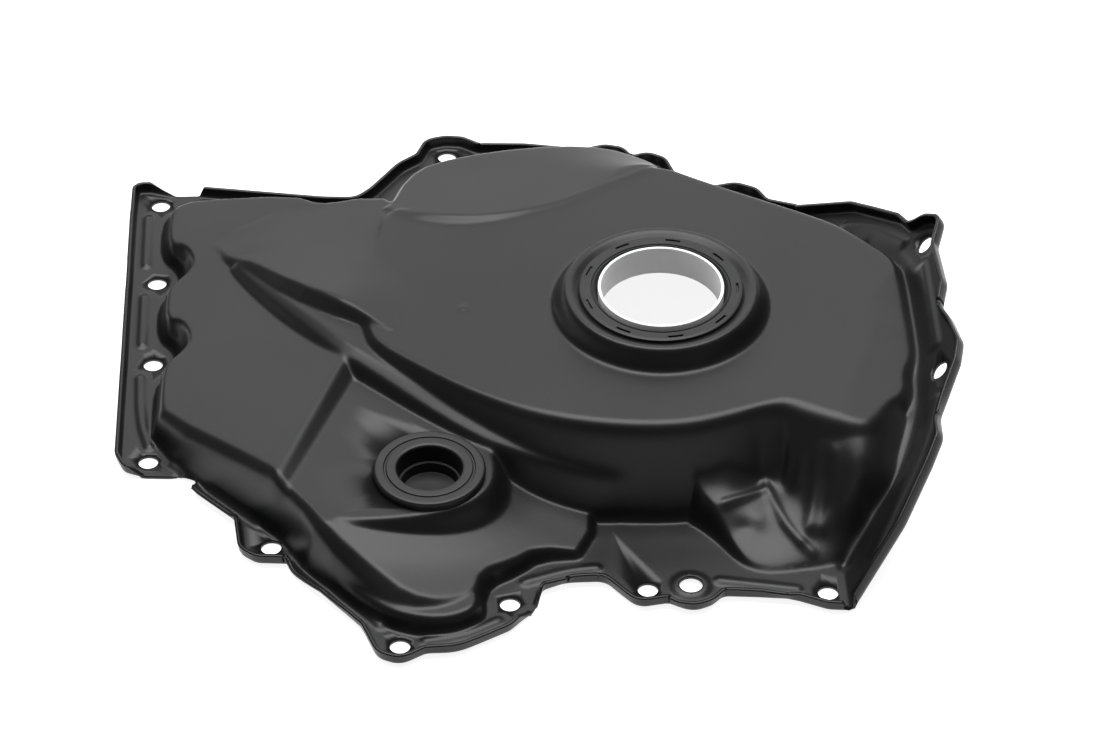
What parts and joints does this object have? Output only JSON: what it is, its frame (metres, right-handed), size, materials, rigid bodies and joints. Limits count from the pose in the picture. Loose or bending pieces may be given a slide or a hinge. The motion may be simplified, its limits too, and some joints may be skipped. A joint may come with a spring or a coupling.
{
  "type": "timing chain cover",
  "caption": "Pressed sheet-steel timing chain cover with a raised side wing, a crankshaft seal in its collar and a rubber access plug.",
  "frame": {"origin": "crankshaft axis on the gasket face of the flange", "axes": "+Z out of the gasket face towards the outside of the cover, +X towards the side with the raised wing, +Y away from the bottom end"},
  "size_m": [0.3329, 0.3249, 0.0551],
  "materials": {
    "cover": "satin",
    "seal_steel": "satin",
    "seal_rubber": "matte",
    "seal_lip": "satin",
    "sleeve": "satin",
    "plug": "matte"
  },
  "bodies": {
    "root": {"cover_pressing": "cover", "seal_case": "seal_steel", "seal_jacket": "seal_rubber", "seal_lip": "seal_lip", "assembly_sleeve": "sleeve", "access_plug": "plug"}
  },
  "joints": []
}
